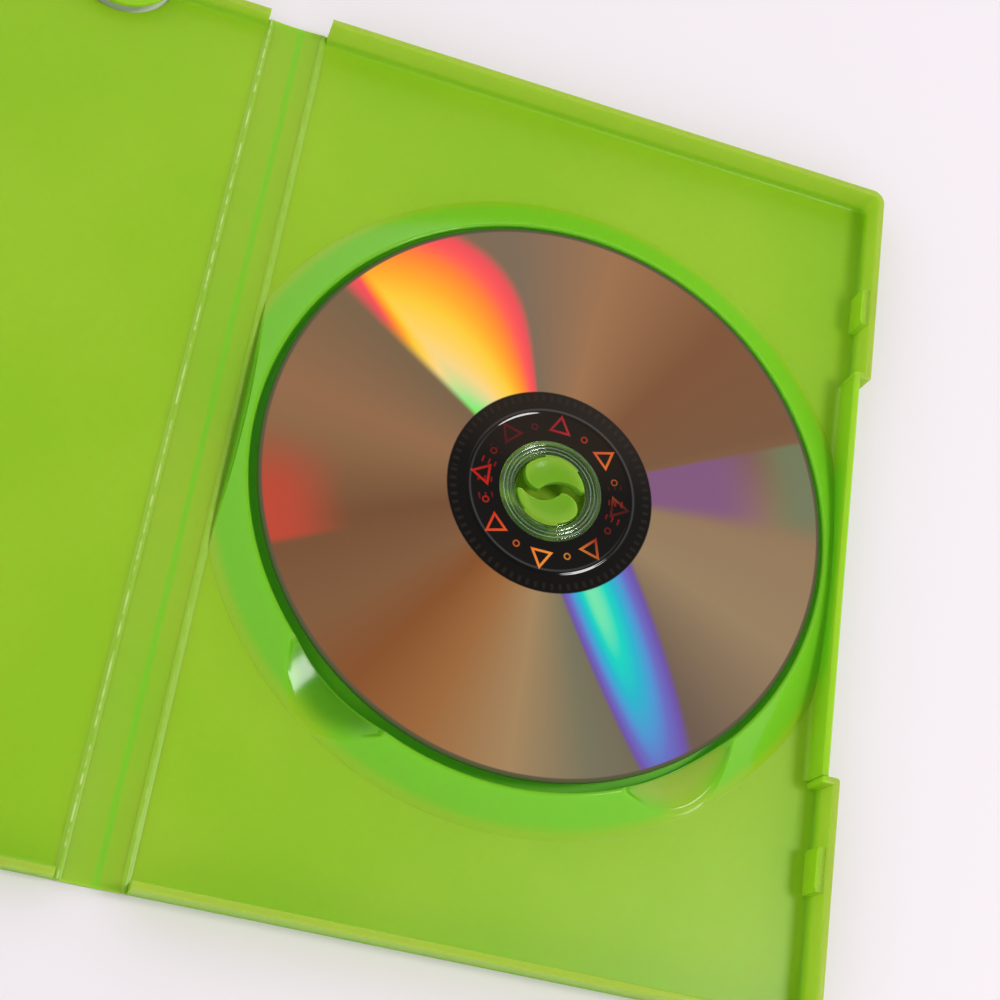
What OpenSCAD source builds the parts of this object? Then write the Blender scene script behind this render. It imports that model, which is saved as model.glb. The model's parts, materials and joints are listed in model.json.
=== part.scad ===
// Disc case for a game, lying fully open with its disc on the hub.
// Origin: middle of the spine, on the surface that the open case lies on.
// +X runs from the spine to the opening edge of the back cover, +Y to the
// top of the case and +Z up. The front cover lies on the -X side.

/* [Disc] */
// Diameter of the disc
disc_d = 120; // [100:1:130]
// Thickness of the disc
disc_t = 1.2; // [0.8:0.1:1.6]
// Diameter of the hole in the disc
disc_hole_d = 15; // [14:0.5:17]
// Mean diameter of the stacking ring
stack_ring_d = 35; // [32:0.5:40]
// Width of the stacking ring
stack_ring_w = 1.1; // [0.8:0.1:1.4]
// Height of the stacking ring
stack_ring_h = 0.2; // [0.1:0.05:0.3]

/* [Case] */
// Height of the case, along the spine
case_h = 190; // [170:1:210]
// Distance between the two fold lines
spine_w = 11.8; // [11:0.1:16]
// Thickness of the covers
panel_t = 1.2; // [1:0.1:1.6]
// Distance from the edge of the disc to the fold line
fold_margin = 5; // [4.5:0.1:8]
// Distance from the edge of the disc to the opening edge
edge_margin = 8.4; // [7.4:0.1:14]
// Outer radius of the two corners at the opening edge
corner_r = 3; // [2.8:0.1:8]
// Radius of the outer edges of the covers
edge_r = 0.8; // [0.4:0.1:1]

/* [Walls] */
// Thickness of the walls
wall_t = 1.5; // [1.2:0.1:1.6]
// Height of the back cover's walls above the disc
wall_over_disc = 1; // [0.8:0.1:2]
// Radius where a wall meets its cover
cove_r = 1.2; // [0.6:0.1:1.2]
// Radius of the upper edges of the walls
top_r = 0.4; // [0.2:0.1:0.5]
// Gap between the two walls when the case is shut
meet_gap = 0.3; // [0.2:0.05:0.5]

/* [Folds] */
// Radius of the bead along each fold line
bead_r = 0.35; // [0.3:0.05:0.4]
// Gap between a bead and its cover
bead_gap = 0.08; // [0.06:0.01:0.15]
// Height of the fold axis when the case lies open
fold_z = 1; // [0.9:0.05:1.1]
// Thickness of the spine
spine_t = 1; // [0.8:0.1:1.1]
// Outward bow of the spine
spine_bow = 0.35; // [0.2:0.05:0.4]
// Distance from a cover's edge to the start of its walls
wall_setback = 0.3; // [0.3:0.1:1]

/* [Thumb recess] */
// Length of the recess in the opening edge
recess_len = 91; // [60:1:110]
// Depth of the recess
recess_depth = 2.6; // [1.5:0.1:3]

/* [Disc well] */
// Height of the disc's seat above the cover
seat_h = 4.8; // [4:0.1:5.5]
// Diameter of the seat
seat_d = 34; // [30:1:40]
// Draft of the seat's outer wall, over its whole height
seat_draft = 1.2; // [0.5:0.1:2]
// Width of the sloping collar beyond the edge of the disc
collar_w = 10; // [8:0.5:12]
// Gap between the edge of the disc and the collar's crest
collar_gap = 1.4; // [1.2:0.1:2.4]
// Width of the crest
crest_w = 1.2; // [1.2:0.1:1.6]
// Radius of the crest's edges
crest_r = 0.5; // [0.3:0.1:0.5]
// Drop from the underside of the disc to the crest
crest_drop = 0.3; // [0:0.1:1]
// Draft of the collar's inner wall, over its whole height
well_draft = 0.3; // [0.2:0.1:0.8]
// Lean of the straight side of the collar next to the spine
chord_lean = 1.3; // [0.8:0.1:1.6]

/* [Finger notches] */
// Angle of each notch from the lower end of the case
notch_angle = 35; // [25:1:45]
// Radius of the scoop
notch_r = 29.5; // [24:0.5:34]
// Slope of the scoop's lowest line, up towards the disc
notch_tilt = 7.5; // [5:0.5:10]
// Distance from the collar's foot to the point where that line meets the cover
notch_out = 0.5; // [0.3:0.1:1]

/* [Hub] */
// Gap between the hub and the hole in the disc
hub_gap = 0.3; // [0.2:0.05:0.4]
// Reach of each lip over the disc
lip_reach = 0.2; // [0.15:0.05:0.3]
// Gap between the lips and the disc
lip_gap = 0.1; // [0.1:0.05:0.2]
// Height of the hub's rim above the disc
rim_over_disc = 0.6; // [0.6:0.1:0.9]
// Width of the hub's rim
rim_w = 0.8; // [0.7:0.1:1.2]
// Radius of the rim's outer edge
rim_r = 0.3; // [0.2:0.05:0.4]
// Thickness of the straps
strap_t = 1; // [0.8:0.1:1.2]
// Width of the strap that carries each tab
strap_w = 6; // [4:0.5:6.5]
// Drop from the disc's upper face to the middle of the hub's dish
dish_drop = 0.2; // [0.2:0.1:0.8]
// Thickness of the tabs under the middle of the dish
tab_plate_t = 1.6; // [1.5:0.1:1.8]
// Radius of each tab's round head
head_r = 3.4; // [3:0.1:3.6]
// Distance of each head's centre from the hub axis
head_offset = 4.12; // [4:0.02:4.4]
// Width of the slot round each head
slot_w = 2.4; // [1.8:0.1:2.6]
// Gap between the hub and the well that it stands in
well_gap = 3.4; // [2.4:0.1:3.6]
// Radius of the round foot of each strap
foot_r = 0.5; // [0.4:0.05:0.55]
// Gap round each foot
foot_gap = 0.05; // [0.04:0.01:0.08]

/* [Latches] */
// Distance of each latch from the middle of the case
latch_y = 64.3; // [60:0.1:80]
// Length of each latch block
block_len = 9; // [7:0.5:12]
// Depth of each latch block
block_depth = 1.7; // [1.4:0.1:2.2]
// Gap between a shut latch tongue and its block
latch_gap = 0.75; // [0.7:0.05:1]
// Thickness of the latch tongues
tongue_t = 1.2; // [1:0.1:1.6]
// Depth that a tongue reaches below the back cover's walls
latch_reach = 2.5; // [2:0.1:3]
// Radius of the catch ridges
ridge_r = 0.25; // [0.2:0.05:0.25]

/* [Booklet clips] */
// Distance of the clips from the fold line and from the opening edge
clip_inset = 32; // [25:1:45]
// Radius of the half-moon clips
clip_r = 11; // [8:0.5:14]
// Reach of the clips from the wall
clip_reach = 8; // [5:0.5:10]
// Gap for the booklet under the clips
clip_gap = 2; // [1.5:0.1:2.2]
// Thickness of the clips
clip_t = 1; // [0.8:0.1:1.2]

/* [Hidden] */
$fn = 96;

plastic = [0.58, 0.78, 0.17];
disc_tone = [0.56, 0.45, 0.36];
over = 1;                                   // how far a cut runs past a face
sunk = 0.5;                                 // how deep a fused piece reaches into what carries it

disc_r = disc_d / 2;
hole_r = disc_hole_d / 2;
fold_x = spine_w / 2;
cover_x = fold_x + bead_r + bead_gap;       // edge of the back cover along the fold
wall_x = cover_x + wall_setback;
hub_x = fold_x + fold_margin + disc_r;
open_x = hub_x + disc_r + edge_margin;      // opening edge
half_h = case_h / 2;

seat_z = panel_t + seat_h;                  // underside of the disc
disc_top = seat_z + disc_t;
back_top = disc_top + wall_over_disc;
shut_t = spine_w + 2 * fold_z;              // thickness of the shut case
front_top = shut_t - back_top - meet_gap;

inner_wall_x = open_x - wall_t;             // inner face of the opening wall
recess_x = open_x - recess_depth;           // outer face of the set-in wall

// Slice through one edge of a cover: x runs inwards from the edge, y up
module lip_section(width) {
    intersection() {
        union() {
            translate([edge_r, edge_r]) circle(edge_r);
            translate([edge_r, 0]) square([width - edge_r, panel_t]);
            translate([0, edge_r]) square([width, panel_t]);
        }
        square([width, panel_t]);
    }
}

module wall_section(top, foot = 0) {
    translate([0, foot]) square([wall_t, top - top_r - foot]);
    translate([top_r, foot]) square([wall_t - 2 * top_r, top - foot]);
    for (x = [top_r, wall_t - top_r]) translate([x, top - top_r]) circle(top_r);
}

module cove_section() {
    difference() {
        square(cove_r);
        translate([cove_r, cove_r]) circle(cove_r);
    }
}

module rim_section(top) {
    lip_section(wall_t + cove_r);
    wall_section(top, edge_r);
    translate([wall_t, panel_t]) cove_section();
}

module recess_section(top) {
    lip_section(recess_depth + wall_t + cove_r);
    translate([recess_depth, 0]) wall_section(top);
    translate([recess_depth + wall_t, panel_t]) cove_section();
}

// Sweeps of a section along the upper edge, round the corner and down the opening edge
module along_end(x_from, x_to) {
    translate([x_from, half_h, 0]) rotate([90, 0, 90]) mirror([1, 0, 0])
        linear_extrude(x_to - x_from) children();
}

module round_corner() {
    translate([open_x - corner_r, half_h - corner_r, 0]) rotate_extrude(angle = 90)
        translate([corner_r, 0]) mirror([1, 0]) children();
}

module along_opening(y_from, y_to) {
    translate([open_x, y_to, 0]) rotate([90, 0, 0]) mirror([1, 0, 0])
        linear_extrude(y_to - y_from) children();
}

// Plan of a cover, set in from its three outer edges
module cover_plan(inset) {
    x_end = open_x - inset;
    y_end = half_h - inset;
    r = corner_r - inset;
    translate([cover_x, -y_end]) square([x_end - r - cover_x, 2 * y_end]);
    translate([x_end - r, r - y_end]) square([r, 2 * (y_end - r)]);
    for (side = [-1, 1]) translate([x_end - r, side * (y_end - r)]) circle(r);
}

// Short wall that joins the outer wall to the set-in wall, with round ends
module recess_end(top) {
    x_in = recess_x - wall_t / 2;
    y_mid = recess_len / 2 + wall_t / 2;
    translate([x_in, y_mid - wall_t / 2, 0]) rotate([90, 0, 90])
        linear_extrude(open_x - wall_t / 2 - x_in) wall_section(top, panel_t / 2);
    for (x = [x_in, open_x - wall_t / 2]) translate([x, y_mid, 0]) rotate_extrude()
        intersection() {
            translate([-wall_t / 2, 0]) wall_section(top, panel_t / 2);
            square([wall_t, top]);
        }
}

// Floor, edges, walls and thumb recess that both covers share
module cover_shell(top) {
    y_recess = recess_len / 2;
    linear_extrude(panel_t) cover_plan(wall_t);
    along_opening(-y_recess, y_recess) recess_section(top);
    for (side = [0, 1]) mirror([0, side, 0]) {
        along_end(cover_x, wall_x + sunk) lip_section(wall_t + cove_r);
        along_end(wall_x, open_x - corner_r) rim_section(top);
        round_corner() rim_section(top);
        along_opening(y_recess + wall_t / 2, half_h - corner_r) rim_section(top);
        recess_end(top);
    }
}

// The collar round the disc well: radii run from the hub axis, heights from the resting surface
crest_z = seat_z - crest_drop;
crest_in = disc_r + collar_gap;
crest_out = crest_in + crest_w;
foot_r_in = crest_in - well_draft;
foot_r_out = disc_r + collar_w;
crest_c = [crest_out - crest_r, crest_z - crest_r];
slope_run = [foot_r_out - crest_c[0], crest_c[1] - panel_t];
slope_deg = atan2(slope_run[1], slope_run[0]) + asin(crest_r / norm(slope_run));

function arc(centre, r, from, to, steps) = [
    for (i = [0:steps]) let (a = from + (to - from) * i / steps) centre + r * [cos(a), sin(a)]
];

module collar_section() {
    polygon(concat(
        [[foot_r_in, panel_t / 2], [foot_r_in, panel_t]],
        arc([crest_in + crest_r, crest_c[1]], crest_r, 180, 90, 4),
        arc(crest_c, crest_r, 90, 90 - slope_deg, 3),
        [[foot_r_out, panel_t], [foot_r_out, panel_t / 2]]
    ));
}

// Hollow that keeps the collar one cover thick
module collar_hollow_section() {
    hollow_w = 0.8;                         // width of the hollow's top
    skin = panel_t / sin(slope_deg);
    wall_in = crest_in + panel_t;
    top = panel_t + (foot_r_out - skin - wall_in - hollow_w) * tan(slope_deg);
    function slope_x(z) = foot_r_out - (z - panel_t) / tan(slope_deg) - skin;
    polygon([
        [foot_r_in + panel_t, -over], [slope_x(-over), -over], [slope_x(top), top], [wall_in, top]
    ]);
}

// Room between the leaning side next to the spine and the opening wall
module well_limits(inset, x_end) {
    lean = chord_lean / (crest_z - panel_t);
    function side_x(z) = wall_x + inset + (z - panel_t) * lean;
    rotate([90, 0, 0]) linear_extrude(case_h, center = true)
        polygon([[side_x(-over), -over], [x_end, -over], [x_end, back_top], [side_x(back_top), back_top]]);
}

// Each scoop's lowest line runs up from the cover towards the disc
module scoops(grow, z_from) {
    intersection() {
        for (side = [-1, 1]) translate([hub_x, 0, 0]) rotate([0, 0, -90 + side * notch_angle])
            translate([foot_r_out + notch_out, 0, panel_t]) rotate([0, notch_tilt, 0])
                translate([over, 0, notch_r]) rotate([0, -90, 0])
                    cylinder(r = notch_r + grow, h = collar_w + notch_out + 4 * over);
        translate([0, -case_h, z_from]) cube([open_x, case_h, 2 * notch_r]);
    }
}

module collar() {
    difference() {
        intersection() {
            translate([hub_x, 0, 0]) rotate_extrude($fn = 180) collar_section();
            well_limits(0, recess_x - wall_t + sunk);
        }
        scoops(0, panel_t);
    }
}

module collar_hollow() {
    difference() {
        intersection() {
            translate([hub_x, 0, 0]) rotate_extrude($fn = 180) collar_hollow_section();
            well_limits(panel_t, recess_x - wall_t);
        }
        scoops(panel_t, -2 * over);
    }
}

// The seat under the middle of the disc and the well that the hub stands in
hub_r = hole_r - hub_gap;
well_r = hub_r + well_gap;
seat_r = seat_d / 2;

module seat() {
    translate([hub_x, 0, 0]) rotate_extrude()
        polygon([
            [well_r, panel_t / 2], [well_r, seat_z], [seat_r, seat_z],
            [seat_r + seat_draft, panel_t], [seat_r + seat_draft, panel_t / 2]
        ]);
}

module seat_hollow() {
    top = seat_z - panel_t;
    translate([hub_x, 0, 0]) rotate_extrude()
        polygon([
            [well_r + panel_t, -over], [well_r + panel_t, top], [seat_r - panel_t, top],
            [seat_r + seat_draft - panel_t, panel_t], [seat_r + seat_draft - panel_t, -over]
        ]);
}

// Hub tabs: each hangs on a strap whose round foot lies in a groove in the well's floor
head_deg = 51;                              // direction of each head below the X axis
tail_y = 1.4;                               // where each tail starts, below the middle of the hub
tab_mid_deg = -102;                         // middle of the lower tab's rim
strap_r = hub_r - strap_t / 2;
foot_z = panel_t + foot_r + foot_gap;
strap_top = seat_z - 2 * foot_gap;          // just below the disc
dish_z = disc_top - dish_drop;
rim_top = disc_top + rim_over_disc;
root_side = 0.7;                            // plastic left on each side of the groove
root_w = 2 * (foot_r + root_side);
root_len = strap_w + 1;

module at_strap() {
    rotate([0, 0, tab_mid_deg]) translate([strap_r, 0, 0]) children();
}

module strap_root() {
    at_strap() difference() {
        translate([-root_w / 2, -root_len / 2, panel_t / 2]) cube([root_w, root_len, foot_z - panel_t / 2]);
        translate([0, 0, foot_z]) rotate([90, 0, 0])
            cylinder(r = foot_r + foot_gap, h = root_len + over, center = true);
    }
}

// Comma-shaped plan of the lower tab; the upper one is the same, turned half round
module tab_plan() {
    head = head_offset * [cos(head_deg), -sin(head_deg)];
    reach = 2 * hub_r;
    difference() {
        union() {
            translate([-reach, -reach]) square([reach + head[0], reach - tail_y]);
            translate(head) circle(head_r);
        }
        translate(-head) circle(head_r + slot_w);
    }
}

// Slice through the hub: a shallow dish inside a rounded rim
module hub_section() {
    low = dish_z - tab_plate_t;
    dish_out = hub_r - rim_w;
    dish_h = rim_top - dish_z;
    dish_r = (dish_out * dish_out + dish_h * dish_h) / (2 * dish_h);
    polygon(concat(
        [[0, low], [hub_r, low]],
        arc([hub_r - rim_r, rim_top - rim_r], rim_r, 0, 90, 4),
        arc([0, dish_z + dish_r], dish_r, asin(dish_out / dish_r) - 90, -90, 6)
    ));
}

module lip() {
    lip_deg = 60;
    lip_z = disc_top + lip_gap;
    lip_rise = 0.15;                        // slope under the lip
    lip_edge = 0.1;                         // thickness of its rim
    lip_drop = 0.08;                        // from the hub's rim to the top of the lip
    rotate([0, 0, tab_mid_deg - lip_deg / 2]) rotate_extrude(angle = lip_deg) polygon([
        [hub_r - strap_t / 2, lip_z], [hub_r, lip_z], [hole_r + lip_reach, lip_z + lip_rise],
        [hole_r + lip_reach, lip_z + lip_rise + lip_edge],
        [hub_r - rim_r * 2 / 3, rim_top - lip_drop], [hub_r - strap_t / 2, rim_top - lip_drop]
    ]);
}

module hub_tab() {
    intersection() {
        rotate_extrude() hub_section();
        translate([0, 0, dish_z - tab_plate_t - over])
            linear_extrude(rim_top - dish_z + tab_plate_t + 2 * over) tab_plan();
    }
    lip();
    at_strap() {
        translate([-strap_t / 2, -strap_w / 2, foot_z]) cube([strap_t, strap_w, strap_top - foot_z]);
        translate([0, 0, foot_z]) rotate([90, 0, 0]) cylinder(r = foot_r, h = strap_w, center = true);
    }
}

module hub_tab_lower() {
    color(plastic) translate([hub_x, 0, 0]) hub_tab();
}

module hub_tab_upper() {
    color(plastic) translate([hub_x, 0, 0]) rotate([0, 0, 180]) hub_tab();
}

// Latches: blocks on the back cover's opening wall, tongues on the front cover
block_x = inner_wall_x - block_depth;
tongue_x = block_x - latch_gap;             // outer face of a shut tongue
tongue_w = block_len - 1;
tongue_top = shut_t - (back_top - latch_reach);
ridge_from_tip = 0.6;
ridge_step = 0.2;                           // height between the two shut ridges
block_ridge_z = back_top - latch_reach + ridge_from_tip + 2 * ridge_r + ridge_step;

module ridge(x, z, length) {
    translate([x, 0, z]) rotate([90, 0, 0]) cylinder(r = ridge_r, h = length, center = true, $fn = 24);
}

module latch_block() {
    translate([block_x, -block_len / 2, panel_t / 2])
        cube([block_depth + sunk, block_len, back_top - wall_over_disc - panel_t / 2]);
    ridge(block_x, block_ridge_z, tongue_w);
}

module latch_tongue() {
    rib_t = 1;
    rib_drop = 0.8;                         // from the wall's top to the top of the ribs
    translate([tongue_x - tongue_t, -tongue_w / 2, panel_t / 2])
        cube([tongue_t, tongue_w, tongue_top - panel_t / 2]);
    ridge(tongue_x, tongue_top - ridge_from_tip, tongue_w);
    for (side = [-1, 1]) translate([tongue_x - sunk, side * (tongue_w - rib_t) / 2 - rib_t / 2, panel_t / 2])
        cube([inner_wall_x + 2 * sunk - tongue_x, rib_t, front_top - rib_drop - panel_t / 2]);
}

// Half-moon clips for the booklet, each over a window in the cover
clip_z = panel_t + clip_gap;

module clip_plan(y_from) {
    intersection() {
        translate([0, half_h - wall_t + clip_r - clip_reach]) circle(clip_r);
        translate([-clip_r, half_h - wall_t - clip_reach - over])
            square([2 * clip_r, clip_reach + over + y_from]);
    }
}

module back_cover() {
    color(plastic) difference() {
        union() {
            cover_shell(back_top);
            collar();
            seat();
            for (turn = [0, 180]) translate([hub_x, 0, 0]) rotate([0, 0, turn]) strap_root();
            for (side = [-1, 1]) translate([0, side * latch_y, 0]) latch_block();
        }
        collar_hollow();
        seat_hollow();
    }
}

module front_cover() {
    clip_xs = [fold_x + clip_inset, open_x - clip_inset];
    color(plastic) mirror([1, 0, 0]) {
        difference() {
            cover_shell(front_top);
            for (side = [0, 1], x = clip_xs) mirror([0, side, 0]) translate([x, 0, -over])
                linear_extrude(clip_z + over) clip_plan(0);
        }
        for (side = [0, 1], x = clip_xs) mirror([0, side, 0]) translate([x, 0, clip_z])
            linear_extrude(clip_t) clip_plan(sunk);
        for (side = [-1, 1]) translate([0, side * latch_y, 0]) latch_tongue();
    }
}

// Thin strip, bowed outwards, with a bead along each fold
module spine() {
    bow_r = (fold_x * fold_x + spine_bow * spine_bow) / (2 * spine_bow);
    bead_sunk = 0.07;                       // how deep the strip reaches into each bead
    edge_x = fold_x - bead_r + bead_sunk;
    color(plastic) rotate([90, 0, 0]) linear_extrude(case_h, center = true) {
        intersection() {
            difference() {
                translate([0, bow_r]) circle(bow_r, $fn = 720);
                translate([0, bow_r]) circle(bow_r - spine_t, $fn = 720);
            }
            translate([-edge_x, -over]) square([2 * edge_x, fold_z + bead_r + over]);
        }
        for (side = [-1, 1]) translate([side * fold_x, fold_z]) circle(bead_r);
    }
}

// Two bonded halves with a fine seam round the edge, and the stacking ring on the upper face
module game_disc() {
    bevel = 0.12;
    seam = 0.05;
    mid = seat_z + disc_t / 2;
    ring_half = stack_ring_w / 2;
    crown_r = (ring_half * ring_half + stack_ring_h * stack_ring_h) / (2 * stack_ring_h);
    crown_deg = asin(ring_half / crown_r);
    crown_c = [stack_ring_d / 2, disc_top + stack_ring_h - crown_r];
    color(disc_tone) translate([hub_x, 0, 0]) rotate_extrude($fn = 180) polygon(concat(
        [[hole_r, seat_z], [disc_r - bevel, seat_z], [disc_r, seat_z + bevel]],
        [[disc_r, mid - seam], [disc_r - seam, mid], [disc_r, mid + seam]],
        [[disc_r, disc_top - bevel], [disc_r - bevel, disc_top]],
        arc(crown_c, crown_r, 90 - crown_deg, 90 + crown_deg, 4),
        [[hole_r + bevel, disc_top], [hole_r, disc_top - bevel]]
    ));
}

back_cover();
spine();
front_cover();
hub_tab_upper();
hub_tab_lower();
game_disc();
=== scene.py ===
import json
import math

import bpy
from mathutils import Matrix, Vector


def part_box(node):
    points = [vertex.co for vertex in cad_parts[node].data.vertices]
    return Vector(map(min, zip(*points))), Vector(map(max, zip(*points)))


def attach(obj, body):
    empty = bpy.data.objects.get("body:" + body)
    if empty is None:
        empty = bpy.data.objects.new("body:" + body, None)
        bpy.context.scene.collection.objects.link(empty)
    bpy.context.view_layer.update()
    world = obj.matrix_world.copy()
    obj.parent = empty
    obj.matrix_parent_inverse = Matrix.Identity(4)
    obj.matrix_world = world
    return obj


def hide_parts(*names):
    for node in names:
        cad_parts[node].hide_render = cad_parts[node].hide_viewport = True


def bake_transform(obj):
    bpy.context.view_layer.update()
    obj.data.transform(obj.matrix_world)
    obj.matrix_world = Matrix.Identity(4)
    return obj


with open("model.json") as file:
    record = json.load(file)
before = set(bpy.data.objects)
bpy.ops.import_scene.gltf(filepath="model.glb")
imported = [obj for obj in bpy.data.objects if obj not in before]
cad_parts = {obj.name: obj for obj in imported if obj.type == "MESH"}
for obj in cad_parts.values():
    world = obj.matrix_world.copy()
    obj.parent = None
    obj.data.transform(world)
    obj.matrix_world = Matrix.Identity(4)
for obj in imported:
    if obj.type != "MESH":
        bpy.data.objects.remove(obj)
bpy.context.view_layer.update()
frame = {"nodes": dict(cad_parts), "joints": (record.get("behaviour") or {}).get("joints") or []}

parts = frame["nodes"]
MM = 0.001


# Camera
# The photograph is taken by hand from below the left of the disc, with the camera
# rolled so that the case leans to the right.
camera_spot = Vector((-15.32, -149.09, 329.85)) * MM
camera_aim = Vector((60.74, -4.88, 7.2)) * MM
camera_roll = math.radians(39.97)

bpy.ops.object.select_all(action="DESELECT")
bpy.ops.object.camera_add(location=camera_spot)
camera = bpy.context.object
facing = (camera_aim - camera_spot).to_track_quat("-Z", "Y").to_matrix()
camera.rotation_euler = (facing @ Matrix.Rotation(camera_roll, 3, "Z")).to_euler()
camera.data.lens = 64.7
camera.data.clip_start = 0.01
camera.data.clip_end = 20
bpy.context.scene.camera = camera


# Table and light
# A pale, faintly pink table under one softbox, which stands to the right of the case. The
# room is bright low down and dark overhead, so the disc mirrors a dark ceiling.
class Sum:
    """A shader value that takes part in Python sums."""

    def __init__(self, socket):
        self.socket = socket
        self.tree = socket.id_data

    def math(self, operation, *values, clamp=False):
        node = self.tree.nodes.new("ShaderNodeMath")
        node.operation = operation
        node.use_clamp = clamp
        for slot, value in zip(node.inputs, (self, *values)):
            plug(slot, value)
        return Sum(node.outputs[0])

    def swapped(self, operation, value):
        node = self.tree.nodes.new("ShaderNodeMath")
        node.operation = operation
        plug(node.inputs[0], value)
        plug(node.inputs[1], self)
        return Sum(node.outputs[0])

    def __add__(self, value):
        return self.math("ADD", value)

    def __radd__(self, value):
        return self.math("ADD", value)

    def __sub__(self, value):
        return self.math("SUBTRACT", value)

    def __rsub__(self, value):
        return self.swapped("SUBTRACT", value)

    def __mul__(self, value):
        return self.math("MULTIPLY", value)

    def __rmul__(self, value):
        return self.math("MULTIPLY", value)

    def __truediv__(self, value):
        return self.math("DIVIDE", value)

    def ramp(self, low, high):
        """0 at low, 1 at high, smooth between them; high may be below low."""
        node = self.tree.nodes.new("ShaderNodeMapRange")
        node.interpolation_type = "SMOOTHSTEP"
        flip = low > high
        plug(node.inputs["Value"], self)
        node.inputs["From Min"].default_value = min(low, high)
        node.inputs["From Max"].default_value = max(low, high)
        node.inputs["To Min"].default_value = 1 if flip else 0
        node.inputs["To Max"].default_value = 0 if flip else 1
        return Sum(node.outputs["Result"])


def plug(slot, value):
    """Joins a value, a colour or a link to an input."""
    if isinstance(value, Sum):
        value = value.socket
    if isinstance(value, bpy.types.NodeSocket):
        slot.id_data.links.new(value, slot)
    elif hasattr(slot.default_value, "__len__") and isinstance(value, (int, float)):
        slot.default_value = (value,) * len(slot.default_value)
    else:
        slot.default_value = value


def srgb(red, green, blue):
    """A colour as a picture shows it, 0 to 255, in the light values that shaders use."""
    values = [v / 255 for v in (red, green, blue)]
    return tuple(v / 12.92 if v <= 0.04045 else ((v + 0.055) / 1.055) ** 2.4 for v in values) + (1,)


class Finish:
    """A material, or the world, with its nodes made by short calls."""

    def __init__(self, owner):
        owner.use_nodes = True
        self.owner = owner
        self.tree = owner.node_tree
        self.tree.nodes.clear()

    def node(self, kind, settings=None, **inputs):
        """A node with its settings made first, a ramp's stops among them, then its inputs."""
        made = self.tree.nodes.new("ShaderNode" + kind)
        for name, value in (settings or {}).items():
            if name == "stops":
                while len(made.color_ramp.elements) < len(value):
                    made.color_ramp.elements.new(1)
                for element, (place, colour) in zip(made.color_ramp.elements, value):
                    element.position = place
                    element.color = colour
            else:
                setattr(made, name, value)
        for name, value in inputs.items():
            plug(made.inputs[name.replace("_", " ")], value)
        return made

    def mix(self, share, below, above):
        made = self.node("Mix", {"data_type": "RGBA"})
        plug(made.inputs[0], share)
        plug(made.inputs[6], below)
        plug(made.inputs[7], above)
        return made.outputs[2]

    def shades(self, value, stops):
        """The colour at a value from 0 to 1; each stop is such a value and its colour."""
        placed = [(place, srgb(*colour)) for place, colour in stops]
        return self.node("ValToRGB", {"stops": placed}, Fac=value).outputs["Color"]

    def either(self, share, below, above):
        """Two shaders, the second with that share."""
        made = self.node("MixShader", Fac=share)
        plug(made.inputs[1], below.outputs[0])
        plug(made.inputs[2], above.outputs[0])
        return made

    def end(self, shader, kind="OutputMaterial"):
        self.tree.links.new(shader.outputs[0], self.node(kind).inputs["Surface"])
        return self.owner


table_size = 6
table_drop = 0.1
bpy.ops.object.select_all(action="DESELECT")
bpy.ops.mesh.primitive_plane_add(size=table_size, location=(0, 0, -table_drop * MM))
table = bpy.context.object
table.name = "table"

table_finish = Finish(bpy.data.materials.new("table_top"))
table.data.materials.append(table_finish.end(
    table_finish.node("BsdfPrincipled", Base_Color=srgb(240, 232, 236), Roughness=0.6)))

softbox_aim = Vector((60, 0, 5)) * MM
softbox_far = 2.0
softbox_size = 0.5
softbox_height = math.radians(60)
softbox_turn = math.radians(-2)
softbox_way = Vector((
    math.cos(softbox_height) * math.cos(softbox_turn),
    math.cos(softbox_height) * math.sin(softbox_turn),
    math.sin(softbox_height)))
bpy.ops.object.light_add(type="AREA", location=softbox_aim + softbox_way * softbox_far)
softbox = bpy.context.object
softbox.rotation_euler = softbox_way.to_track_quat("Z", "Y").to_euler()
softbox.data.shape = "RECTANGLE"
softbox.data.size = softbox_size
softbox.data.size_y = softbox_size
softbox.data.energy = 14.8

room = Finish(bpy.data.worlds.new("room"))
bpy.context.scene.world = room.owner
up = Sum(room.node("SeparateXYZ", Vector=room.node("TexCoord").outputs["Generated"]).outputs["Z"])
room_by_height = [
    (0, (1.2, 1.2, 1.23, 1)), (0.45, (1.2, 1.2, 1.23, 1)), (0.7, (0.94, 0.94, 0.96, 1)),
    (0.84, (0.26, 0.26, 0.26, 1)), (1, (0.14, 0.14, 0.14, 1))]
room_light = room.node(
    "ValToRGB", {"stops": room_by_height}, Fac=up.math("MULTIPLY", 1, clamp=True))
room.end(room.node("Background", Color=room_light.outputs["Color"], Strength=1.0), "OutputWorld")

bpy.context.scene.view_settings.view_transform = "Standard"


# Back cover
# One moulding in translucent green polypropylene: tray, walls, disc well and hub seat. The
# floor has a satin texture, what stands above it is polished, and every edge is rounded.
disc_low, disc_high = [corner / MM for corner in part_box("game_disc")]
cover_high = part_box("back_cover")[1] / MM
disc_middle = (disc_low.x + disc_high.x) / 2
disc_r = 60
disc_under = disc_low.z
disc_top = disc_under + 1.2
floor_top = 1.2
collar_wall_r = disc_r + 1.4
collar_foot_r = disc_r + 10
slope_rise = 0.58
slope_top = 5.5
scoop_r = collar_foot_r - 4
scoop_lean = 0.13
scoop_lean_limit = 0.6
seen_through = 0.25
wall_seen_through = 0.65
cover_light = srgb(173, 219, 46)
cover_deep = srgb(165, 216, 38)
collar_green = srgb(130, 222, 44)
# Painted shade for the left scoop and painted light for the right one.
scoop_painted_shade = srgb(92, 168, 24)
scoop_painted_light = srgb(188, 214, 84)
# Painted shade and a painted glow for the gap round the disc, where light comes through the collar.
gap_painted_shade = srgb(110, 206, 30)
gap_painted_glow = srgb(27, 78, 12)
# A paler painted glow on the walls, and painted light on the tab rims.
pale_painted_light = srgb(226, 224, 116)
no_light = srgb(0, 0, 0)


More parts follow.
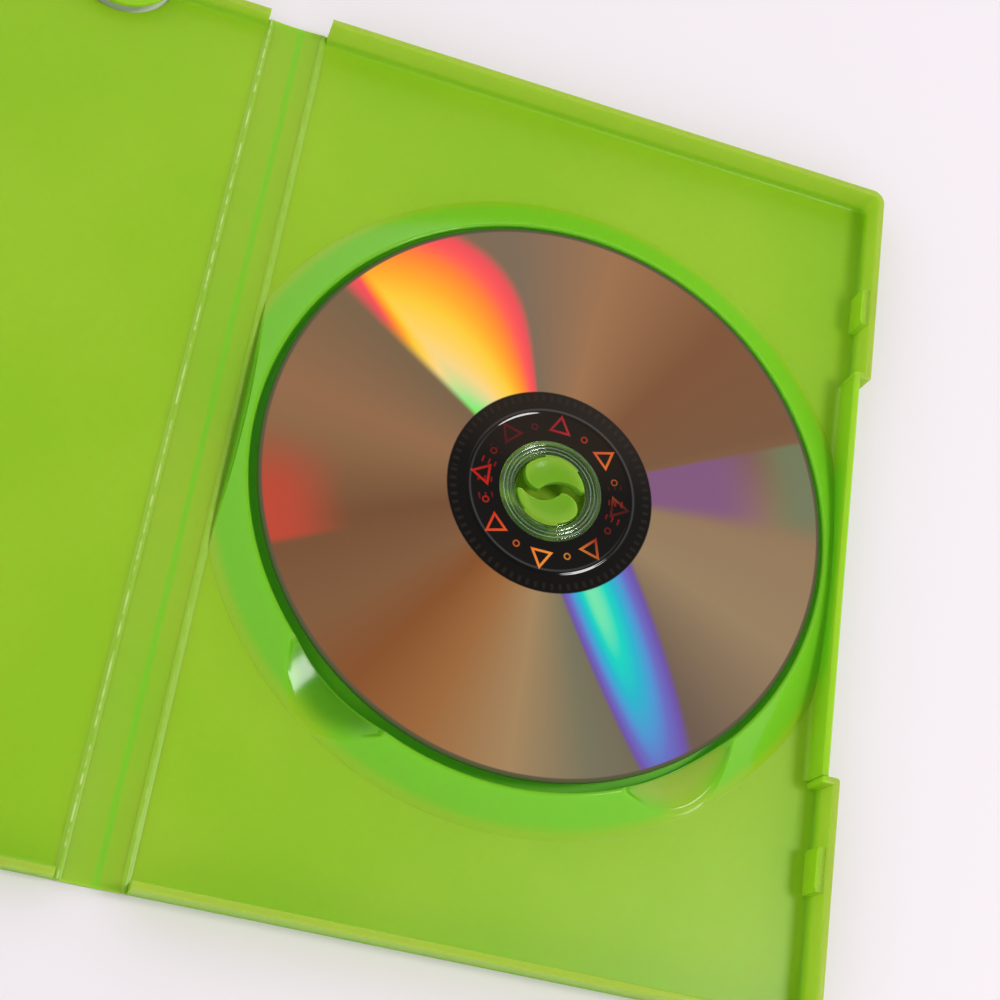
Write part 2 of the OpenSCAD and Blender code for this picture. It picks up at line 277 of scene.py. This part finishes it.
def plastic_finish(name, light, deep, by_place, rounding=0.25, gloss=0.4, soft=0.55):
    """Translucent green plastic. by_place(made, x, y, height, tone) gives what changes over it:
    its tone, the painted glow for light from behind, its shape, and the share that shines through."""
    made = Finish(bpy.data.materials.new(name))
    place = made.node("TexCoord").outputs["Object"]
    apart = made.node("SeparateXYZ", Vector=place)
    x, y, height = [Sum(apart.outputs[axis]) / MM for axis in "XYZ"]
    cloudy = Sum(made.node("TexNoise", Vector=place, Scale=22.0, Detail=3.0).outputs[0])
    grain = Sum(made.node("TexNoise", Vector=place, Scale=2600.0, Detail=2.0).outputs[0])
    green = made.mix(cloudy.ramp(0.35, 0.65), deep, light)
    tone, glow, shape, through = by_place(made, x, y, height, green)
    polished = cloudy * 0.05 + grain * 0.03 + 0.1
    rough = polished + height.ramp(floor_top + 0.4, floor_top + 0.02) * 0.19
    skin = made.node("Bump", Strength=0.04, Distance=0.02 * MM, Height=grain)
    if rounding:
        round_edges = made.node("Bevel", {"samples": 6}, Radius=rounding * MM)
        shaped = made.node("Bump", Distance=MM, Height=shape, Normal=round_edges.outputs["Normal"])
        plug(skin.inputs["Normal"], shaped.outputs["Normal"])
    # The emission is a painted glow: it stands in for light that comes through the plastic into shaded
    # places.
    body = made.node(
        "BsdfPrincipled", Base_Color=tone, Roughness=rough, IOR=1.49, Specular_IOR_Level=gloss,
        Normal=skin.outputs["Normal"], Subsurface_Weight=soft, Subsurface_Radius=(1.5, 3.0, 0.4),
        Subsurface_Scale=MM, Emission_Color=glow, Emission_Strength=1.0)
    lit_through = made.node("BsdfTranslucent", Color=srgb(190, 226, 70))
    return made.end(made.either(through, body, lit_through))


def outer_walls(made, x, y, height, tone, side):
    """Tone and share that shines through: the outer walls get a paler painted glow, and are lit from both
    sides.
    """
    end_wall = (x * side).ramp(cover_high.x - 2.8, cover_high.x - 2.1)
    side_wall = y.math("ABSOLUTE").ramp(cover_high.y - 2.4, cover_high.y - 1.7)
    wall = end_wall.math("MAXIMUM", side_wall)
    above_floor = height.ramp(floor_top + 0.3, floor_top + 2.3)
    tone = made.mix(wall * above_floor * 0.9, tone, pale_painted_light)
    return tone, wall * (wall_seen_through - seen_through) + seen_through


def back_by_place(made, x, y, height, tone):
    """Deeper green on the hollow collar, painted shade in the left scoop and painted light in the right
    one, and painted shade and a painted glow in the gap round the disc.
    """
    out_x = x - disc_middle
    radius = (out_x * out_x + y * y).math("SQRT")
    collar = radius.ramp(collar_foot_r + 0.3, collar_foot_r - 3) * radius.ramp(disc_r + 0.5, disc_r + 1.5)
    collar = collar * height.ramp(floor_top + 0.1, floor_top + 1.4)
    collar = collar * height.ramp(disc_top - 0.2, disc_top - 1)
    tone = made.mix(collar * 0.85, tone, collar_green)
    # Painted shade and a painted glow in the gap under the disc's edge.
    gap = radius.ramp(collar_wall_r + 0.3, collar_wall_r - 0.2) * radius.ramp(disc_r - 6, disc_r - 3)
    tone = made.mix(gap * 0.8, tone, gap_painted_shade)
    tone, through = outer_walls(made, x, y, height, tone, 1)

    slope = ((collar_foot_r - radius) * slope_rise + floor_top).math("MINIMUM", slope_top)
    scoop_depth = slope - height
    lean = (radius - scoop_r) * scoop_lean
    lean = lean.math("MINIMUM", scoop_lean_limit).math("MAXIMUM", -scoop_lean_limit)
    # Painted shade in the left scoop, painted light in the right one.
    scoop_painted_light_and_shade = made.mix(out_x.ramp(-10, 10), scoop_painted_shade, scoop_painted_light)
    scooped = scoop_depth.ramp(0.1, 2.4) * radius.ramp(collar_wall_r - 0.1, collar_wall_r + 0.4)
    tone = made.mix(scooped * 0.85, tone, scoop_painted_light_and_shade)
    return tone, made.mix(gap, no_light, gap_painted_glow), scoop_depth.ramp(0.15, 0.8) * lean, through


cover_plastic = plastic_finish("back_polypropylene", cover_light, cover_deep, back_by_place)
parts["back_cover"].data.materials[0] = cover_plastic


# Spine
# The narrow strip between the two folds, of the same moulding. It is thinner than the covers,
# bowed a little outwards, and more light comes through it.
# A painted highlight along the middle of the spine.
spine_painted_highlight = srgb(132, 228, 44)


def spine_by_place(made, x, y, height, tone):
    """A painted highlight: a soft bright line along the middle, where the light gathers in the bowed
    strip.
    """
    line = x.ramp(-0.1, 0.9) * x.ramp(2.0, 1.0)
    return made.mix(line * 0.75, tone, spine_painted_highlight), no_light, 0.0, seen_through


spine_plastic = plastic_finish(
    "spine_polypropylene", srgb(172, 214, 54), srgb(162, 214, 48), spine_by_place)
parts["spine"].data.materials[0] = spine_plastic


# Fold webs
# Thin webs that lie across the folds between the spine and the covers. They are part of
# the moulding: a rounded bead runs along each of them.
back_fold = next(joint for joint in frame["joints"] if joint["name"] == "back_fold")
fold_x, fold_y, fold_z = [place / MM for place in back_fold["pos_m"]]
web_line = [
    (0.9, 1.16), (0.6, 1.2), (0.4, 1.3), (0.2, 1.37), (0, 1.39), (-0.2, 1.37), (-0.55, 1.31), (-0.7, 1.28)]
web_half = cover_high.y - 0.3
web_wall = 0.05
web_bend = 0.5
# A painted highlight along the web's crown.
web_painted_highlight = srgb(206, 224, 140)


def web_by_place(made, x, y, height, tone):
    """A painted highlight along its crown, broken along its length, and stronger on the front fold."""
    glint_breaks = Sum(made.node("TexNoise", {"noise_dimensions": "1D"}, W=y * 0.045, Detail=2.0).outputs[0])
    share = glint_breaks.ramp(0.4, 0.6) * (x.ramp(1, -1) * 0.6 + 0.25)
    return made.mix(height.ramp(1.405, 1.44) * share, tone, web_painted_highlight), no_light, 0.0, 0.0


web_plastic = plastic_finish(
    "web_polypropylene", srgb(148, 191, 52), srgb(142, 188, 46), web_by_place, rounding=0, soft=0.0)


def fold_web(name, side):
    """One web: an edge along the fold, extruded across it from the cover to the spine."""
    start_x, start_z = web_line[0]
    start = (side * (fold_x + start_x) * MM, fold_y * MM, start_z * MM)
    bpy.ops.object.select_all(action="DESELECT")
    bpy.ops.mesh.primitive_plane_add(size=2 * web_half * MM, location=start)
    web = bpy.context.object
    web.name = name
    bpy.ops.object.mode_set(mode="EDIT")
    bpy.ops.mesh.select_all(action="SELECT")
    bpy.ops.transform.resize(value=(0, 1, 1), center_override=start)
    bpy.ops.mesh.remove_doubles(threshold=1e-6)
    bpy.ops.mesh.select_mode(type="EDGE")
    bpy.ops.mesh.select_all(action="SELECT")
    for (x, z), (next_x, next_z) in zip(web_line, web_line[1:]):
        bpy.ops.mesh.extrude_edges_move(TRANSFORM_OT_translate={
            "value": (side * (next_x - x) * MM, 0, (next_z - z) * MM)})
    bpy.ops.mesh.select_all(action="SELECT")
    bpy.ops.mesh.normals_make_consistent(inside=False)
    bpy.ops.object.mode_set(mode="OBJECT")
    if web.data.polygons[0].normal.z < 0:
        bpy.ops.object.mode_set(mode="EDIT")
        bpy.ops.mesh.flip_normals()
        bpy.ops.object.mode_set(mode="OBJECT")
    bpy.ops.object.modifier_add(type="SOLIDIFY")
    web.modifiers[-1].thickness = web_wall * MM
    web.modifiers[-1].offset = 1
    bpy.ops.object.modifier_apply(modifier=web.modifiers[-1].name)
    bpy.ops.object.transform_apply(location=True, rotation=True, scale=True)
    bpy.ops.object.shade_smooth_by_angle(angle=math.radians(50))
    web.data.materials.append(web_plastic)
    bend_from = (side * (fold_x + web_bend) * MM, fold_y * MM, fold_z * MM)
    bend_to = (side * (fold_x - web_bend) * MM, fold_y * MM, fold_z * MM)
    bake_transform(web)


fold_web("back_fold_web", 1)
fold_web("front_fold_web", -1)


# Front cover
# The plain half of the moulding, with lower walls, two latch tongues and the clips for the
# booklet. It has the same finish as the back cover.
def front_by_place(made, x, y, height, tone):
    """Only its outer walls differ from its floor."""
    tone, through = outer_walls(made, x, y, height, tone, -1)
    return tone, no_light, 0.0, through


front_plastic = plastic_finish("front_polypropylene", cover_light, cover_deep, front_by_place)
parts["front_cover"].data.materials[0] = front_plastic


# Hub tabs
# The two tabs that hold the disc, moulded with the cover. They are thick and lie deep in the
# well; their darker, more saturated green is partly the thick plastic, partly painted shade.
# Tab colours darkened with painted shade, and a faint painted glow.
tab_pale_with_painted_shade = srgb(124, 176, 42)
tab_deep_with_painted_shade = srgb(110, 168, 38)
tab_painted_glow = srgb(24, 44, 8)
tab_seen_through = 0.2


def tab_by_place(made, x, y, height, tone):
    """A paler rim, painted light, and a painted glow for the little light that gets down to the tabs."""
    rim = height.ramp(disc_top + 0.2, disc_top + 0.6)
    return made.mix(rim * 0.12, tone, pale_painted_light), tab_painted_glow, 0.0, tab_seen_through


tab_plastic = plastic_finish(
    "tab_polypropylene", tab_pale_with_painted_shade, tab_deep_with_painted_shade, tab_by_place, rounding=0.3, gloss=0.1)
for part in ("hub_tab_upper", "hub_tab_lower"):
    parts[part].data.materials[0] = tab_plastic


# Game disc
# Two clear polycarbonate halves bonded round a metal layer, data side up. The metal starts
# 11 mm from the axis, and a low stacking ring stands up from the blank mirror band.
hub = Vector((disc_middle * MM, 0, 0))
hole_r = 7.5
metal_r = 10.95
data_r = 21.9
stacking_r = 17.5
edge = 0.12
seam = 0.05
bond = (disc_under + disc_top) / 2
round_steps = 256


def turned(name, outline):
    """A round piece: a circle is extruded and scaled from one (radius, height) to the next."""
    r, z = outline[0]
    bpy.ops.object.select_all(action="DESELECT")
    bpy.ops.mesh.primitive_circle_add(
        vertices=round_steps, radius=r * MM, location=hub + Vector((0, 0, z * MM)))
    made = bpy.context.object
    made.name = name
    bpy.ops.object.mode_set(mode="EDIT")
    bpy.ops.mesh.select_all(action="SELECT")
    for next_r, next_z in outline[1:] + outline[:1]:
        bpy.ops.mesh.extrude_region_move(TRANSFORM_OT_translate={"value": (0, 0, (next_z - z) * MM)})
        bpy.ops.transform.resize(
            value=(next_r / r, next_r / r, 1), center_override=hub + Vector((0, 0, next_z * MM)))
        r, z = next_r, next_z
    bpy.ops.mesh.select_all(action="SELECT")
    bpy.ops.mesh.remove_doubles(threshold=1e-6)
    bpy.ops.mesh.normals_make_consistent(inside=False)
    bpy.ops.object.mode_set(mode="OBJECT")
    bpy.ops.object.transform_apply(location=True, rotation=True, scale=True)
    bpy.ops.object.shade_smooth_by_angle(angle=math.radians(30))
    return made


def ridge(middle, half, height, steps):
    """Points over a low wave-shaped ridge, from its outer foot to its inner one."""
    return [(
        middle - half * (2 * i / steps - 1),
        disc_top + height * (1 - math.cos(2 * math.pi * i / steps)) / 2) for i in range(steps + 1)]


rim_outline = [
    (disc_r - edge, disc_under), (disc_r, disc_under + edge), (disc_r, bond - seam),
    (disc_r - seam, bond), (disc_r, bond + seam), (disc_r, disc_top - edge), (disc_r - edge, disc_top)]
data_outline = [(metal_r, disc_under)] + rim_outline
data_outline += ridge(stacking_r, 0.72, 0.15, 14) + [(metal_r, disc_top)]
disc = turned("disc_data_side", data_outline)

clear_r = metal_r - 0.02
clear_outline = [
    (hole_r, disc_under + edge), (hole_r + edge, disc_under), (clear_r, disc_under), (clear_r, disc_top)]
for middle, half, height in [(10.2, 0.3, 0.12), (9.3, 0.25, 0.1), (8.5, 0.2, 0.08)]:
    clear_outline += ridge(middle, half, height, 8)
clear_outline += [(hole_r + edge, disc_top), (hole_r, disc_top - edge)]
clear_disc = turned("disc_clear_middle", clear_outline)


def about_hub(made):
    """Place and distance from the disc's axis, in millimetres."""
    centred = made.node(
        "Mapping", Vector=made.node("TexCoord").outputs["Object"],
        Location=(-disc_middle, 0, 0), Scale=(1 / MM, 1 / MM, 1 / MM))
    apart = made.node("SeparateXYZ", Vector=centred.outputs["Vector"])
    x, y = Sum(apart.outputs["X"]), Sum(apart.outputs["Y"])
    return x, y, (x * x + y * y).math("SQRT")


fan_start = 23.5
mark_count = 8
triangle_r = 14.5
triangle_half = 1.15
loop_r = 14.2
loop_half = 0.6


def round_hub(made, angle, stops):
    """A colour that changes round the hub; each stop is an angle in degrees and its colour."""
    return made.shades((angle + 180) / 360, [((degrees + 180) / 360, colour) for degrees, colour in stops])


def brown_painted_sheen(made, radius, angle):
    """The brown of the metal, a painted reflection of the room, lighter and darker round the hub, with
    faint turned tracks.
    """
    browns = [
        (-180, (140, 103, 70)), (-158, (114, 77, 50)), (-138, (128, 90, 60)), (-124, (133, 79, 41)),
        (-108, (155, 103, 58)), (-90, (162, 132, 92)), (-74, (116, 114, 90)), (-50, (105, 88, 75)),
        (-22, (150, 127, 95)), (2, (147, 120, 90)), (30, (119, 85, 60)), (56, (124, 82, 53)),
        (84, (156, 113, 78)), (106, (124, 106, 86)), (150, (121, 98, 72)), (172, (147, 106, 74)),
        (180, (140, 103, 70))]
    brown = round_hub(made, angle, browns)
    tracks = Sum(made.node("TexNoise", {"noise_dimensions": "1D"}, W=radius * 1.7, Detail=2.0).outputs[0])
    return made.mix(tracks.ramp(0.3, 0.7) * 0.1, brown, srgb(146, 116, 88))


def cool_painted_rainbow(made, tone, x, y):
    """A narrow painted rainbow reflection, green along its middle, then blue, and violet at its edges."""
    turn = math.radians(-59.5)
    along = x * math.cos(turn) + y * math.sin(turn)
    across = y * math.cos(turn) - x * math.sin(turn)
    aside = (across / 10.1).math("MAXIMUM", across / -5.8)
    onward = (along - fan_start) * 0.0225
    spread = (aside * aside + onward * onward).math("SQRT")
    colour = made.shades(spread / 1.2, [
        (0.0, (120, 224, 168)), (0.12, (104, 222, 172)), (0.26, (28, 208, 186)), (0.42, (44, 176, 200)),
        (0.56, (80, 146, 204)), (0.68, (104, 108, 188)), (0.82, (110, 84, 166)), (0.95, (108, 84, 120))])
    return made.mix(spread.ramp(1.15, 0.98), tone, colour)


def warm_painted_rainbow(made, tone, radius, angle):
    """A wide painted rainbow reflection that goes from red at one edge through orange and yellow to green
    at the other.
    """
    outward = radius - fan_start
    spread = (angle - 107.8 - outward * outward * outward * 0.00032) / (outward * 1.05 + 39)
    held_back = angle.ramp(140.5, 145.8) * radius.ramp(fan_start, 51) * 0.46
    colour = made.shades(spread - held_back, [
        (0.0, (238, 82, 88)), (0.05, (252, 92, 84)), (0.13, (252, 132, 54)), (0.25, (252, 172, 46)),
        (0.36, (249, 202, 60)), (0.5, (252, 208, 98)), (0.62, (246, 211, 134)), (0.74, (210, 217, 144)),
        (0.86, (160, 226, 136)), (0.96, (130, 232, 104))])
    return made.mix(spread.ramp(-0.07, 0.0) * angle.ramp(147.8, 144.2), tone, colour)


def faint_painted_rainbows(made, tone, radius, angle):
    """Painted rainbow reflections: a violet fan that turns green near the rim, and on the other side a red
    one at the rim.
    """
    violet = angle.ramp(2, 10) * angle.ramp(26.8, 25.4)
    tone = made.mix(violet * radius.ramp(53, 36) * 0.95, tone, srgb(128, 87, 125))
    tone = made.mix(violet * radius.ramp(45, 56) * 0.9, tone, srgb(112, 122, 91))
    red = angle.ramp(-181, -163) * angle.ramp(-153.2, -155.4) * radius.ramp(41, 57)
    return made.mix(red, tone, srgb(186, 74, 55))


def mirror_band(made, tone, radius, angle):
    """The dark band inside the data, a painted reflection of a dark ceiling that is lighter on one side,
    with evenly spaced plain triangles and small rings.
    """
    # Painted reflection of a dark ceiling, lighter on one side.
    painted_dark_reflection = made.mix(angle.ramp(0, 60) * angle.ramp(176, 130), srgb(9, 6, 3), srgb(33, 24, 16))
    tone = made.mix(radius.ramp(data_r + 0.2, data_r - 0.15), tone, painted_dark_reflection)

    pitch = 360 / mark_count
    corner = math.radians(60)
    sector = ((angle / pitch + 0.5).math("FRACT") - 0.5) * math.radians(pitch)
    aside = (radius * sector.math("SINE")).math("ABSOLUTE")
    outward = radius * sector.math("COSINE") - triangle_r
    slant = outward * math.cos(corner) + aside * math.sin(corner)
    off_side = (outward * -1).math("MAXIMUM", slant) - triangle_half
    triangles = off_side.math("ABSOLUTE").ramp(0.34, 0.16)

    between = ((angle / pitch).math("FRACT") - 0.5) * math.radians(pitch)
    aside = radius * between.math("SINE")
    outward = radius * between.math("COSINE") - loop_r
    off_loop = (aside * aside + outward * outward).math("SQRT") - loop_half
    loops = off_loop.math("ABSOLUTE").ramp(0.22, 0.1) * 0.6

    glow = round_hub(made, angle, [
        (-180, (190, 24, 14)), (-144, (214, 48, 22)), (-108, (240, 110, 36)), (-72, (250, 160, 60)),
        (-36, (150, 30, 16)), (0, (70, 12, 12)), (36, (225, 110, 40)), (72, (190, 44, 48)),
        (108, (110, 22, 36)), (144, (80, 12, 14)), (180, (190, 24, 14))])
    return made.mix(triangles.math("MAXIMUM", loops) * 0.92, tone, glow)


def fine_marks(made, tone, radius, angle):
    """Short dashes at both sides of the hub, and a row of ticks near the edge of the dark band."""
    turn = angle.math("ABSOLUTE")
    dashes = (radius * 4.6).math("SINE").ramp(0.45, 0.8) * (angle * 0.42).math("SINE").ramp(0.3, 0.7)
    dashed = (turn.ramp(150, 168) + turn.ramp(22, 8)) * radius.ramp(12.2, 12.8) * radius.ramp(16.6, 16.0)
    tone = made.mix(dashes * dashed * 0.55, tone, srgb(170, 16, 18))
    ticks = (angle * 1.3).math("SINE").ramp(0.2, 0.5) * radius.ramp(19.8, 20.1) * radius.ramp(21.4, 21.1)
    return made.mix(ticks * 0.25, tone, srgb(60, 48, 40))


def data_finish():
    """The data side: its colours, painted reflections and rainbows, turn about the hub, and a coat shines
    on its middle and rim.
    """
    made = Finish(bpy.data.materials.new("disc_data_side"))
    x, y, radius = about_hub(made)
    angle = y.math("ARCTAN2", x) * (180 / math.pi)
    tone = brown_painted_sheen(made, radius, angle)
    tone = cool_painted_rainbow(made, tone, x, y)
    tone = warm_painted_rainbow(made, tone, radius, angle)
    tone = faint_painted_rainbows(made, tone, radius, angle)
    tone = mirror_band(made, tone, radius, angle)
    tone = fine_marks(made, tone, radius, angle)
    tone = made.mix(radius.ramp(disc_r - 1, disc_r - 0.7), tone, srgb(96, 84, 66))
    tone = made.mix(radius.ramp(disc_r - 0.5, disc_r - 0.3), tone, srgb(70, 90, 46))
    coat = radius.ramp(data_r + 0.4, data_r - 0.1) * 0.6 + radius.ramp(disc_r - 0.2, disc_r - 0.6) * 0.3
    body = made.node(
        "BsdfPrincipled", Base_Color=tone, Roughness=0.55, Specular_IOR_Level=0.0,
        Coat_Weight=coat, Coat_Roughness=0.05)
    return made.end(body)


disc.data.materials.append(data_finish())
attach(disc, "back_cover")
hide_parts("game_disc")


def clear_finish():
    """Clear plastic, seen through, with turned rings that catch the light."""
    made = Finish(bpy.data.materials.new("disc_clear_middle"))
    see = made.node("BsdfTransparent", Color=(0.88, 0.93, 0.78, 1))
    shine = made.node("BsdfGlossy", Color=(0.9, 1, 0.84, 1), Roughness=0.05)
    radius = about_hub(made)[2]
    share = Sum(made.node("Fresnel", IOR=1.58).outputs[0])
    for turn in range(5):
        turned_r = hole_r + 0.4 + 0.7 * turn
        share = share + (radius - turned_r).math("ABSOLUTE").ramp(0.16, 0.05) * 0.16
    return made.end(made.either(share, see, shine))


clear_disc.data.materials.append(clear_finish())
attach(clear_disc, "back_cover")
